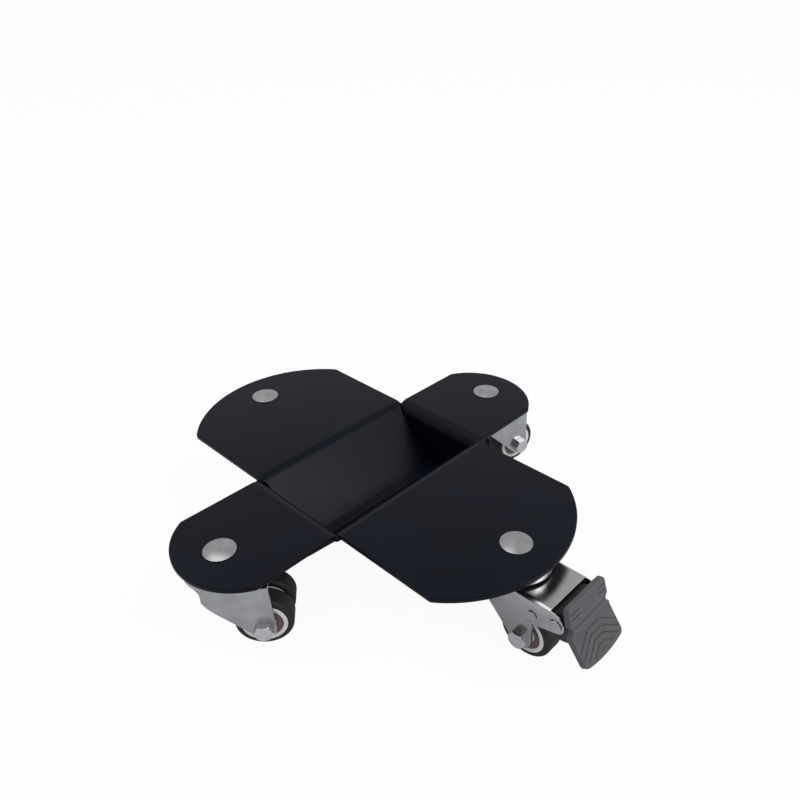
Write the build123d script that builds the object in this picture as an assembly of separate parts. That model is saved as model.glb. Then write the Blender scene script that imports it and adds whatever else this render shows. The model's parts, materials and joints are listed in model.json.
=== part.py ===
"""Piano dolly: a bent steel cross with a V trough for the piano's own castor, on four twin-wheel
swivel casters, the front one braked by a foot pedal.

Millimetres, +Z up. The origin is the centre of the trough floor, on the face that carries the
castor. +X points to the right narrow arm, +Y to the rear wide arm, and the braked caster is at -Y.
"""
import os
from math import atan2, cos, degrees, radians, sin, tan

from build123d import *

# Deck plates
plate = 4.0                      # gauge of the bent steel
trough_depth = 42.0              # arm tops above the trough floor
trough_floor_width = 10.0        # flat strip between the two slopes
trough_length = 141.0            # clear length between the end walls
arm_bend_inside = 7.0            # inside radius where an arm turns down
floor_bend_inside = 5.0          # inside radius between slope and floor
arm_reach = 167.0                # centre to the tip of each arm
wide_arm_width = 149.0            # flush with the outer faces of the end walls
wide_arm_end_radius = 92.0
wide_arm_corner_radius = 5.0     # rounding where the end arc meets the sides
narrow_arm_width = 88.0          # also the mouth of the trough
narrow_arm_end_radius = 49.5
caster_circle_radius = 137.5     # centre to each swivel axis
plate_edge_round = 0.8           # softened upper edges of the arms
corner_gap = 0.3                 # between a wide arm and the side of a narrow one
weld_radius = 3.0                # tack welds at the four corners
edge_match = 0.01                # how closely an edge has to lie on a level to count as on it
past = 1.0                       # how far a cutting shape reaches beyond the metal

# Swivel heads
swivel_head_height = 11.8        # deck underside to the top of the fork crown
kingpin_bolt_diameter = 8.0
bolt_head_diameter = 22.0
bolt_head_height = 2.2
bolt_hole_clearance = 0.2        # radial, round the bolt shank
kingpin_wall = 1.8               # hollow kingpin that the fork turns on
kingpin_flange_radius = 10.5
kingpin_flange = 2.0
kingpin_nut_across_flats = 13.0
kingpin_nut_height = 7.0
bolt_end_past_nut = 1.5
race_outer_radius = 26.2         # dust skirt of the upper race
lower_race_radius = 18.0         # stays on the flat of the fork's crown
race_sheet = 2.0
ball_circle_radius = 12.5
ball_diameter = 5.0
ball_count = 6
race_gap = 2.0                   # free height between the two races
race_skirt_overlap = 2.2         # how far the skirt hangs over the lower race

# Forks
fork_sheet = 2.5
wheel_side_room = 2.1            # outer wheel face to the leg beside it
fork_bend_inside = 2.0
fork_front = 20.0                # swivel axis to the leading edge of the crown
fork_back = 30.5                 # swivel axis to the trailing edge of the crown
brake_fork_back = 43.0           # the same on the braked caster
fork_nose_radius = 14.0          # rounded leading corners of the crown
trail = 23.8                     # swivel axis to axle, along the fork
wheel_top_room = 17.8            # crown top to the top of the tread
leg_end_radius = 8.6             # round leg end about the axle
leg_front_depth = 5.6            # upright leading edge below the crown

# Wheels
wheel_diameter = 40.0
wheel_width = 15.8
wheel_spacing = 3.2              # free gap between the twin wheels
tyre_shoulder = 2.6              # rounding of the tread into the side
rim_flange_radius = 15.6
rim_seat_radius = 14.2           # tyre bore
rim_flange = 1.4
rim_barrel = 1.5
rim_web = 3.0
hub_radius = 8.0
hub_cover = 1.6
hub_cover_recess = 0.9
axle_bolt_diameter = 8.0
axle_across_flats = 12.0
axle_head_height = 5.0
axle_nut_height = 6.5
axle_end_past_nut = 1.5
axle_sleeve_wall = 1.4

# Brake on the front caster
pedal_lean = 73.0                # degrees from level, upper block of the pad, pedal pressed down
pedal_foot_lean = 52.0           # the same for the foot below its bend
pivot_reach = 48.5               # swivel axis to pedal pivot
pivot_drop = 7.8                 # crown top to pedal pivot
pivot_pin_diameter = 5.0
pivot_head_diameter = 9.0
pivot_head_height = 1.2
ear_radius = 6.4                 # fork ear about the pivot
ear_root_drop = 15.5             # crown top to the middle of the ear where it leaves the leg
stop_pin_reach = 31.3            # swivel axis to the stop pin
stop_pin_drop = 11.7             # crown top to the stop pin
stop_pin_diameter = 4.0
stop_head_diameter = 7.2
stop_head_height = 1.0
pedal_above_pivot = 14.0         # pivot level to the top edge of the pad
pedal_thickness = 4.2
pedal_stand_off = 7.1            # pivot to the back of the pad
pedal_bend_drop = 22.0           # top edge of the pad to the bend between block and foot
pedal_bend_inside = 6.0
pedal_block_width = 41.0
pedal_corner_radius = 3.0
pedal_shoulder_width = 42.6      # lower end of the block
pedal_shoulder_drop = 13.4
pedal_shoulder_radius = 1.6
pedal_waist_width = 37.6         # waist beside the fork ears
pedal_waist_drop = 16.4
pedal_foot_width = 43.6
pedal_foot_length = 23.2         # bend to the lowest point of the foot
pedal_foot_bow = 2.4             # how far the lower edge bows out
pedal_heel_radius = 4.5          # lower corners of the foot
pedal_edge_round = 1.2
groove_width = 0.9               # grip grooves moulded into the pad
groove_depth = 0.6
groove_margin = 1.5              # end of a groove to the edge of the pad
arch_count = 5                   # nested arches on the foot
arch_drop = 1.6                  # bend to the first arch
arch_pitch = 4.4
arch_flat = 13.2                 # width of the first arch's top
arch_taper = 2.2                 # how much narrower each further top is
arch_fall = 32.0                 # degrees, slope of the arch legs
waist_groove_drop = 15.7         # groove across the lower end of the block
side_groove_drop = 4.6           # first of the two short grooves beside the bare middle of the block
side_groove_pitch = 4.0
side_groove_length = 8.4
lever_sheet = 2.0
lever_width = 34.0
lever_foot = 16.0                # lever length below the pivot
lever_top = 12.0                 # lever plate above the pivot, behind the pad
shoe_arc = 26.0                  # degrees of tread under the brake shoe
shoe_middle = 33.0               # degrees above level, middle of the shoe

# Clearances between moving pieces
running = 0.08                   # radial, turning fits
bearing_play = 0.1               # balls in their tracks
side_play = 0.3                  # axial and general working gap
brake_gap = 0.4                  # shoe to tread, pedal down

# Directions that the casters trail in, degrees from +X
caster_places = {
    "front": ((0, -caster_circle_radius), -90.0),
    "left": ((-caster_circle_radius, 0), -41.0),
    "right": ((caster_circle_radius, 0), -12.5),
    "rear": ((0, caster_circle_radius), 62.0),
}

# Places that follow from the sizes above
deck_top = trough_depth
deck_under = deck_top - plate
crown_top = deck_under - swivel_head_height
wheel_radius = wheel_diameter / 2
axle_drop = wheel_radius + wheel_top_room
fork_width = wheel_spacing + 2 * (wheel_width + wheel_side_room + fork_sheet)
mouth = narrow_arm_width / 2
floor_half = trough_floor_width / 2
end_wall = trough_length / 2
leg_inside = fork_width / 2 - fork_sheet
nodes = {}


def add(name, shape):
    """Keep a finished piece under its node name."""
    shape.label = name
    nodes[name] = shape


def turn(before, corner, after):
    """Signed turn of a path at a corner, in degrees, positive to the left."""
    first = atan2(corner[1] - before[1], corner[0] - before[0])
    second = atan2(after[1] - corner[1], after[0] - corner[0])
    return (degrees(second - first) + 180) % 360 - 180


def beside(points, distance):
    """The same path moved to its right by a distance, with its corners kept sharp."""
    moved = []
    for place, corner in enumerate(points):
        before = points[place - 1] if place > 0 else None
        after = points[place + 1] if place + 1 < len(points) else None
        start = before or corner
        end = corner if before else after
        heading = atan2(end[1] - start[1], end[0] - start[0])
        half_turn = radians(turn(before, corner, after)) / 2 if before and after else 0
        aim = heading + half_turn - radians(90)
        reach = distance / cos(half_turn)
        moved.append((corner[0] + reach * cos(aim), corner[1] + reach * sin(aim)))
    return moved


def bent_sheet(points, insides, gauge):
    """Section of a bent sheet: its upper line goes through the points, the metal lies to the right."""
    turns = [turn(*points[place:place + 3]) for place in range(len(points) - 2)]
    lower = beside(points, gauge)
    upper_radii = [inside + gauge if bend < 0 else inside for inside, bend in zip(insides, turns)]
    lower_radii = [inside if bend < 0 else inside + gauge for inside, bend in zip(insides, turns)]
    upper_line = FilletPolyline(*points, radius=upper_radii)
    lower_line = FilletPolyline(*lower, radius=lower_radii)
    ends = [Line(points[0], lower[0]), Line(points[-1], lower[-1])]
    return make_face([*upper_line.edges(), *lower_line.edges(), *ends])


def ring_section(points):
    """Closed section in the XZ plane, given as radius and height."""
    return make_face(Plane.XZ * Polyline(*points, close=True))


def hexagon_prism(across_flats, height):
    """Hexagon head or nut blank with chamfered corners, standing on the XY plane."""
    across_corners = across_flats / cos(radians(30))
    blank = extrude(RegularPolygon(across_corners / 2, 6), amount=height)
    bevel = (across_corners - across_flats) / 2
    dome = Cone(across_corners / 2 + height, across_flats / 2, height + bevel,
                align=(Align.CENTER, Align.CENTER, Align.MIN))
    return blank & Pos(0, 0, -bevel) * dome


def hexagon_nut(across_flats, height, thread):
    """Nut standing on the XY plane, bored to a thread diameter."""
    return hexagon_prism(across_flats, height) - Cylinder(thread / 2, 2 * (height + past))


def arm_end(width, end_radius):
    """Plan of an arm that points along +X and ends in an arc."""
    arc = Pos(arm_reach - end_radius, 0) * Circle(end_radius)
    side = Pos(arm_reach / 2, 0) * Rectangle(arm_reach, width)
    inner = Pos((arm_reach - end_radius) / 2, 0) * Rectangle(arm_reach - end_radius, width)
    return inner + (arc & side)


def upper_rim(arm, outwards, bend_line):
    """Upper outline edges of an arm, without its bolt hole and its bend line."""
    rim = []
    for edge in arm.edges():
        spots = [edge @ share for share in (0, 0.5, 1)]
        level = all(abs(spot.Z - deck_top) < edge_match for spot in spots)
        on_bend = all(abs(abs(spot.dot(outwards)) - bend_line) < edge_match for spot in spots)
        if level and not on_bend and not edge.is_closed:
            rim.append(edge)
    return rim


# Trough plate: wide arm, slope, floor, slope, wide arm in one bent strip
slope_line = [(-arm_reach, deck_top), (-mouth, deck_top), (-floor_half, 0),
              (floor_half, 0), (mouth, deck_top), (arm_reach, deck_top)]
slope_bends = [arm_bend_inside, floor_bend_inside, floor_bend_inside, arm_bend_inside]
slope_angle = atan2(trough_depth, mouth - floor_half)
arm_root = mouth + (arm_bend_inside + plate) * tan(slope_angle / 2)
strip = extrude(Plane.YZ * bent_sheet(slope_line, slope_bends, plate),
                amount=max(wide_arm_width, trough_length) / 2, both=True)
wide_arm_plan = arm_end(wide_arm_width, wide_arm_end_radius)
arm_corners = wide_arm_plan.vertices().filter_by_position(Axis.X, arm_root, arm_reach)
wide_arm_plan = fillet(arm_corners, wide_arm_corner_radius)
arm_start = mouth + corner_gap
strip_plan = Rectangle(trough_length, 2 * arm_start)
for heading in (90, -90):
    outer_arm = wide_arm_plan & Pos(arm_start + arm_reach, 0) * Rectangle(2 * arm_reach, wide_arm_width)
    strip_plan += Rot(0, 0, heading) * outer_arm
strip &= extrude(Pos(0, 0, -plate) * strip_plan, amount=trough_depth + plate)
bolt_hole = Cylinder(kingpin_bolt_diameter / 2 + bolt_hole_clearance, 2 * (plate + past))
for side in (1, -1):
    strip -= Pos(0, side * caster_circle_radius, deck_top) * bolt_hole
strip = fillet(upper_rim(strip, Vector(0, 1, 0), arm_root), plate_edge_round)
add("trough_plate", strip)

# Narrow arms: bent plates whose walls close the ends of the trough
under_line = beside(slope_line, plate)
under_run = (under_line[4][0] - under_line[3][0]) / (under_line[4][1] - under_line[3][1])
wall_shoulder = under_line[3][1] + (mouth - under_line[3][0]) / under_run
wall_outline = Polyline((-mouth, deck_top), (mouth, deck_top), (mouth, wall_shoulder), under_line[3],
                        under_line[2], (-mouth, wall_shoulder), close=True)
wall_line = [(end_wall, -plate), (end_wall, deck_top), (arm_reach, deck_top)]
arm_blank = extrude(Plane.XZ * bent_sheet(wall_line, [arm_bend_inside], plate),
                    amount=mouth, both=True)
arm_blank &= extrude(Plane.YZ * make_face(wall_outline), amount=arm_reach)
narrow_plan = arm_end(narrow_arm_width, narrow_arm_end_radius)
arm_blank &= extrude(Pos(0, 0, -plate) * narrow_plan, amount=trough_depth + plate)
arm_blank -= Pos(caster_circle_radius, 0, deck_top) * bolt_hole
narrow_root = end_wall + arm_bend_inside + plate
arm_blank = fillet(upper_rim(arm_blank, Vector(1, 0, 0), narrow_root), plate_edge_round)
add("right_arm", arm_blank)
add("left_arm", Rot(0, 0, 180) * arm_blank)

# Tack welds: one where each corner of the trough plate meets the side of a narrow arm
welds = []
for arm, side in ((nodes["right_arm"], 1), (nodes["left_arm"], -1)):
    for way in (1, -1):
        corner = Pos(side * wide_arm_width / 2, way * (mouth + corner_gap / 2), deck_under)
        welds.append(corner * Sphere(weld_radius) - strip - arm)
add("corner_welds", Compound([bead for weld in welds for bead in weld.solids()]))

# Swivel heads: bolt, hollow kingpin, races and balls, drawn with the crown top at zero
kingpin_bore = kingpin_bolt_diameter / 2 + bolt_hole_clearance
kingpin_radius = kingpin_bore + kingpin_wall
crown_hole = kingpin_radius + running
flange_top = -fork_sheet - side_play
flange_under = flange_top - kingpin_flange
bolt_end = flange_under - kingpin_nut_height - bolt_end_past_nut
race_level = swivel_head_height / 2
track_depth = (ball_diameter / 2 + bearing_play) / cos(radians(45))
track_half = track_depth - race_gap / 2
track_in, track_out = ball_circle_radius - track_half, ball_circle_radius + track_half
head_sphere = (bolt_head_diameter ** 2 / 4 + bolt_head_height ** 2) / (2 * bolt_head_height)
head_level = swivel_head_height + plate
bolt_head = Pos(0, 0, head_level + bolt_head_height - head_sphere) * Sphere(head_sphere)
bolt_head &= Pos(0, 0, head_level) * Cylinder(bolt_head_diameter, bolt_head_height,
                                              align=(Align.CENTER, Align.CENTER, Align.MIN))
shank = Pos(0, 0, bolt_end) * Cylinder(kingpin_bolt_diameter / 2, head_level - bolt_end,
                                       align=(Align.CENTER, Align.CENTER, Align.MIN))
kingpin_bolt = bolt_head + shank
kingpin = revolve(ring_section([
    (kingpin_bore, swivel_head_height), (kingpin_radius, swivel_head_height),
    (kingpin_radius, flange_top), (kingpin_flange_radius, flange_top),
    (kingpin_flange_radius, flange_under), (kingpin_bore, flange_under)]))
kingpin_nut = Pos(0, 0, flange_under - kingpin_nut_height) * hexagon_nut(
    kingpin_nut_across_flats, kingpin_nut_height, kingpin_bolt_diameter)
skirt_inside = race_outer_radius - race_sheet
upper_face = race_level + race_gap / 2
lower_face = race_level - race_gap / 2
skirt_end = lower_face - race_skirt_overlap
upper_race = revolve(ring_section([
    (kingpin_radius, swivel_head_height), (race_outer_radius - race_sheet, swivel_head_height),
    (race_outer_radius, swivel_head_height - race_sheet), (race_outer_radius, skirt_end),
    (skirt_inside, skirt_end), (skirt_inside, upper_face), (track_out, upper_face),
    (ball_circle_radius, race_level + track_depth), (track_in, upper_face), (kingpin_radius, upper_face)]))
lower_race = revolve(ring_section([
    (crown_hole + race_sheet, 0), (lower_race_radius, 0), (lower_race_radius, lower_face),
    (track_out, lower_face), (ball_circle_radius, race_level - track_depth), (track_in, lower_face),
    (crown_hole + race_sheet, lower_face)]))
balls = [Rot(0, 0, 360 * place / ball_count) * Pos(ball_circle_radius, 0, race_level)
         * Sphere(ball_diameter / 2) for place in range(ball_count)]


def at_casters(piece):
    """Copies of a swivel head piece under all four bolts."""
    return [Pos(x, y, crown_top) * Rot(0, 0, heading) * piece
            for (x, y), heading in caster_places.values()]


add("kingpin_bolts", Compound(at_casters(kingpin_bolt)))
add("kingpins", Compound(at_casters(kingpin)))
add("kingpin_nuts", Compound(at_casters(kingpin_nut)))
add("upper_races", Compound(at_casters(upper_race)))
add("bearing_balls", Compound([ball for piece in balls for ball in at_casters(piece)]))


# Casters, drawn with the swivel axis at the origin, the crown top at zero and the trail along +X
axle = (trail, -axle_drop)
axle_hole = axle_bolt_diameter / 2 + running
sleeve_radius = axle_hole + axle_sleeve_wall
pivot = (pivot_reach, -pivot_drop)
stop = (stop_pin_reach, -stop_pin_drop)


def leg_outline(back, ear):
    """Side view of a fork: crown edge, slanting front, round end at the axle and a nearly upright back."""
    crown_edge = Polyline((-fork_front, 0), (-fork_front, -leg_front_depth), (fork_back, 0), close=True)
    leg_end = Pos(*axle) * Circle(leg_end_radius)
    outline = make_hull([*crown_edge.edges(), *leg_end.edges()])
    if ear:
        ear_end = Pos(*pivot) * Circle(ear_radius)
        ear_root = Pos(fork_back - ear_radius, -ear_root_drop) * Circle(ear_radius)
        crown_end = Polyline((0, 0), (back, 0), (back, -fork_sheet), close=True)
        outline += make_hull([*ear_end.edges(), *ear_root.edges(), *crown_end.edges()])
    return outline


def across_fork(place, diameter):
    """Cutter for a hole through both legs at a place in the side view."""
    return Pos(place[0], 0, place[1]) * Rot(90, 0, 0) * Cylinder(diameter / 2, fork_width + 2 * past)


def make_fork(back, ear=False):
    """U-bent fork: a channel cut to the leg outline and to the crown's rounded nose."""
    half = fork_width / 2
    depth = axle_drop + leg_end_radius + past
    reach = pivot_reach + ear_radius + past
    channel_line = [(-half, -depth), (-half, 0), (half, 0), (half, -depth)]
    section = bent_sheet(channel_line, [fork_bend_inside, fork_bend_inside], fork_sheet)
    channel = extrude(Plane.YZ * section, amount=reach, both=True)
    fork = channel & extrude(Plane.XZ * leg_outline(back, ear), amount=fork_width, both=True)
    nose = Pos((reach - fork_front) / 2, 0) * Rectangle(reach + fork_front, fork_width)
    nose = fillet(nose.vertices().group_by(Axis.X)[0], fork_nose_radius)
    fork &= extrude(Pos(0, 0, -depth) * nose, amount=depth)
    fork -= Cylinder(crown_hole, 2 * (fork_sheet + past))
    fork -= across_fork(axle, 2 * axle_hole)
    if ear:
        fork -= across_fork(pivot, pivot_pin_diameter + 2 * running)
        fork -= across_fork(stop, stop_pin_diameter)
        fork -= Pos((back + reach) / 2, 0, 0) * Box(reach - back, 2 * leg_inside, 2 * depth)
    return fork


# Axle: bolt, sleeve between the legs and nut, along Y
head_face = fork_width / 2
axle_head = Pos(0, 0, head_face) * hexagon_prism(axle_across_flats, axle_head_height)
axle_length = 2 * head_face + axle_nut_height + axle_end_past_nut
axle_shank = Pos(0, 0, head_face - axle_length) * Cylinder(
    axle_bolt_diameter / 2, axle_length, align=(Align.CENTER, Align.CENTER, Align.MIN))
axle_bolt = axle_head + axle_shank
axle_nut = Pos(0, 0, -head_face - axle_nut_height) * hexagon_nut(
    axle_across_flats, axle_nut_height, axle_bolt_diameter)
axle_sleeve = Cylinder(sleeve_radius, 2 * leg_inside) - Cylinder(axle_hole, 2 * (leg_inside + past))

# Wheel: tyre, rim with its hub, and hub cover, drawn from the inner face outwards along +Z
side_radius = rim_flange_radius + side_play / 2
tyre_in, tyre_out = side_play, wheel_width - side_play
seat_in, seat_out = rim_flange, wheel_width - rim_flange
tyre_section = make_face(Polyline(
    (wheel_radius, tyre_in), (wheel_radius, tyre_out), (side_radius, tyre_out), (side_radius, seat_out),
    (rim_seat_radius, seat_out), (rim_seat_radius, seat_in), (side_radius, seat_in),
    (side_radius, tyre_in), close=True))
tyre_section = fillet(tyre_section.vertices().group_by(Axis.X)[-1], tyre_shoulder)
tyre = revolve(Plane.XZ * tyre_section)
barrel_inside = rim_seat_radius - rim_barrel
hub_bore = sleeve_radius + running
hub_inner_end = side_play - wheel_spacing / 2
hub_outer_end = leg_inside - side_play - wheel_spacing / 2
web_low = (wheel_width - rim_web) / 2
rim = revolve(ring_section([
    (barrel_inside, 0), (rim_flange_radius, 0), (rim_flange_radius, rim_flange),
    (rim_seat_radius, rim_flange), (rim_seat_radius, wheel_width - rim_flange),
    (rim_flange_radius, wheel_width - rim_flange), (rim_flange_radius, wheel_width),
    (barrel_inside, wheel_width), (barrel_inside, web_low + rim_web), (hub_radius, web_low + rim_web),
    (hub_radius, hub_outer_end), (hub_bore, hub_outer_end), (hub_bore, hub_inner_end),
    (hub_radius, hub_inner_end), (hub_radius, web_low), (barrel_inside, web_low)]))
cover_face = wheel_width - hub_cover_recess
cover_in, cover_out = hub_radius + side_play / 2, barrel_inside - side_play / 2
cover = revolve(ring_section([
    (cover_in, cover_face - hub_cover), (cover_out, cover_face - hub_cover),
    (cover_out, cover_face), (cover_in, cover_face)]))

# Brake: pedal pad, lever with its shoe, and pivot pin, drawn at the pressed pose
lean, foot_lean = radians(pedal_lean), radians(pedal_foot_lean)
pedal_plane = Plane(origin=(pivot[0], 0, pivot[1]), x_dir=(0, 1, 0), z_dir=(sin(lean), 0, cos(lean)))
pad_face = pedal_plane.offset(pedal_stand_off + pedal_thickness)
pad_top = pedal_above_pivot
pad_bend = pad_top - pedal_bend_drop
bend_spot = pad_face.from_local_coords((0, pad_bend, 0))
foot_face = Plane(origin=bend_spot, x_dir=(0, 1, 0), z_dir=(sin(foot_lean), 0, cos(foot_lean)))
pad_line = [pad_face.from_local_coords((0, pad_top, 0)), bend_spot,
            foot_face.from_local_coords((0, -pedal_foot_length, 0))]
pad_section = bent_sheet([(spot.X, spot.Z) for spot in pad_line], [pedal_bend_inside], pedal_thickness)
foot_half = pedal_foot_width / 2
pad_sheet = extrude(Plane.XZ * pad_section, amount=foot_half, both=True)
top_corner = (pedal_block_width / 2, pad_top)
shoulder = (pedal_shoulder_width / 2, pad_top - pedal_shoulder_drop)
waist = (pedal_waist_width / 2, pad_top - pedal_waist_drop)
foot_corner = (foot_half, 2 * waist[1] - shoulder[1])
block_end = (foot_half, pad_bend - pedal_thickness)
block_lines = [Line((-top_corner[0], pad_top), top_corner), Line((-foot_half, block_end[1]), block_end)]
for side in (1, -1):
    flank = [(side * across, up) for across, up in (top_corner, shoulder, waist, foot_corner, block_end)]
    block_lines += [Line(*flank[0:2]), ThreePointArc(*flank[1:4]), Line(*flank[3:5])]
block_outline = make_face(block_lines)
for level, radius in ((top_corner, pedal_corner_radius), (shoulder, pedal_shoulder_radius),
                      (foot_corner, pedal_shoulder_radius)):
    ends = block_outline.vertices().filter_by_position(Axis.Y, level[1] - edge_match, level[1] + edge_match)
    block_outline = fillet(ends, radius)
heel = (foot_half, pedal_foot_bow - pedal_foot_length)
foot_outline = make_face([
    Line((-foot_half, 0), (foot_half, 0)), Line((foot_half, 0), heel),
    Line((-foot_half, 0), (-foot_half, heel[1])),
    ThreePointArc(heel, (0, -pedal_foot_length), (-foot_half, heel[1]))])
heel_corners = foot_outline.vertices().filter_by_position(Axis.Y, heel[1] - edge_match, heel[1] + edge_match)
foot_outline = fillet(heel_corners, pedal_heel_radius)
pedal_pad = pad_sheet & (extrude(pad_face * block_outline, amount=2 * pedal_thickness, both=True)
                         + extrude(foot_face * foot_outline, amount=2 * pedal_thickness, both=True))
front_edges = {}
for face in pedal_pad.faces():
    out = face.normal_at()
    if out.dot(pad_face.z_dir) > cos(lean - foot_lean) - edge_match and out.dot(foot_face.z_dir) > 0:
        for edge in face.edges():
            place = tuple(round(value, 2) for value in edge.center())
            front_edges.setdefault(place, []).append(edge)
pad_rim = [edges[0] for edges in front_edges.values() if len(edges) == 1]
pedal_pad = fillet(pad_rim, pedal_edge_round)
block_grooves = Pos(0, pad_top - waist_groove_drop) * Rectangle(
    pedal_waist_width - 2 * groove_margin, groove_width)
side_groove_place = pedal_block_width / 2 - groove_margin - side_groove_length / 2
for side in (1, -1):
    for count in range(2):
        level = pad_top - side_groove_drop - count * side_groove_pitch
        block_grooves += Pos(side * side_groove_place, level) * Rectangle(side_groove_length, groove_width)
arches = Sketch()
for count in range(arch_count):
    arch_top = -arch_drop - count * arch_pitch
    half_flat = (arch_flat - count * arch_taper) / 2
    arch_foot = arch_top - (foot_half - half_flat) * tan(radians(arch_fall))
    arches += trace(Polyline((-foot_half, arch_foot), (-half_flat, arch_top),
                             (half_flat, arch_top), (foot_half, arch_foot)), groove_width)
arch_side, arch_heel = foot_half - groove_margin, heel[1] + groove_margin
arch_corner, arch_cut = arch_side - pedal_heel_radius, arch_heel + pedal_heel_radius
arches &= make_face(Polyline((-arch_side, 0), (arch_side, 0), (arch_side, arch_cut),
                             (arch_corner, arch_heel), (-arch_corner, arch_heel),
                             (-arch_side, arch_cut), close=True))
pedal_pad -= extrude(pad_face * block_grooves, amount=-groove_depth)
pedal_pad -= extrude(foot_face * arches, amount=-groove_depth)

shoe_inside = wheel_radius + brake_gap
shoe_outside = shoe_inside + lever_sheet
cheek_half = lever_width / 2
cheek_radius = ear_radius - 2 * side_play
cheek_eye = Pos(*pivot) * Circle(cheek_radius)
leaning = Pos(*pivot) * Rot(0, 0, 90 - pedal_lean)
cheek_middle = leaning * Pos((pedal_stand_off - cheek_radius) / 2, (cheek_radius - lever_foot) / 2)
cheek_back = cheek_middle * Rectangle(pedal_stand_off + cheek_radius, lever_foot + cheek_radius)
shoe_ends = [radians(shoe_middle + side * shoe_arc / 2) for side in (-1, 1)]
shoe_corners = [(axle[0] + shoe_inside * cos(angle), axle[1] + shoe_inside * sin(angle))
                for angle in shoe_ends]
cheek_shoe = make_hull([*Polyline(*shoe_corners, pivot, close=True).edges(), *cheek_eye.edges()])
lever_side = cheek_eye + cheek_back + cheek_shoe
lever_side -= Pos(*axle) * Circle(shoe_inside)
lever = extrude(Plane.XZ * lever_side, amount=cheek_half, both=True)
shoe_band = Pos(*axle) * (Circle(shoe_outside) - Circle(shoe_inside))
between_cheeks = leaning * Pos(pedal_stand_off - lever_sheet - pivot_reach,
                               cheek_radius - lever_sheet - pivot_reach) * Rectangle(
    2 * pivot_reach, 2 * pivot_reach)
lever_hollow = (lever_side & between_cheeks) - shoe_band
lever -= extrude(Plane.XZ * lever_hollow, amount=cheek_half - lever_sheet, both=True)
lever_plate = leaning * Pos(pedal_stand_off - lever_sheet / 2, (lever_top - lever_foot) / 2) * Rectangle(
    lever_sheet, lever_top + lever_foot)
lever += extrude(Plane.XZ * lever_plate, amount=cheek_half, both=True)
lever -= across_fork(pivot, pivot_pin_diameter + 2 * running)


def headed_pin(diameter, head_diameter, head_height):
    """Pin through both legs, with a flat head on each side, along Z."""
    head = Pos(0, 0, fork_width / 2) * Cylinder(
        head_diameter / 2, head_height, align=(Align.CENTER, Align.CENTER, Align.MIN))
    return Cylinder(diameter / 2, fork_width) + head + Rot(180, 0, 0) * head


pivot_pin = headed_pin(pivot_pin_diameter, pivot_head_diameter, pivot_head_height)
stop_pin = headed_pin(stop_pin_diameter, stop_head_diameter, stop_head_height)

# Each caster at its place
for name, ((x, y), heading) in caster_places.items():
    place = Pos(x, y, crown_top) * Rot(0, 0, heading)
    axle_place = place * Pos(axle[0], 0, axle[1])
    braked = name == "front"
    add(f"fork_{name}", place * make_fork(brake_fork_back if braked else fork_back, braked))
    add(f"lower_race_{name}", place * lower_race)
    near = -1 if name in ("front", "left", "right") else 1
    across = axle_place * Rot(90 * -near, 0, 0)
    add(f"axle_bolt_{name}", across * axle_bolt)
    add(f"axle_sleeve_{name}", across * axle_sleeve)
    add(f"axle_nut_{name}", across * axle_nut)
    for letter, side in (("a", 1), ("b", -1)):
        outward = axle_place * Pos(0, side * wheel_spacing / 2, 0) * Rot(-90 * side, 0, 0)
        add(f"tyre_{name}_{letter}", outward * tyre)
        add(f"rim_{name}_{letter}", outward * rim)
        add(f"hub_cover_{name}_{letter}", outward * cover)
    if braked:
        add("pedal_pad", place * pedal_pad)
        add("brake_lever", place * lever)
        add("pedal_pin", place * Pos(pivot[0], 0, pivot[1]) * Rot(90, 0, 0) * pivot_pin)
        add("stop_pin", place * Pos(stop[0], 0, stop[1]) * Rot(90, 0, 0) * stop_pin)

os.makedirs("parts", exist_ok=True)
for name, shape in nodes.items():
    export_step(shape, f"parts/{name}.step")
print(len(nodes), "pieces")
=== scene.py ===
"""Piano dolly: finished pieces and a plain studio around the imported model, in metres, in its frame.

+Z is up, +X points to the right narrow arm, +Y to the rear wide arm, and the braked caster is at -Y.
"""
import json
from math import acos, asin, atan2, cos, hypot, pi, radians, sin, sqrt, tan

import bmesh
import bpy
from mathutils import Matrix, Vector

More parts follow.
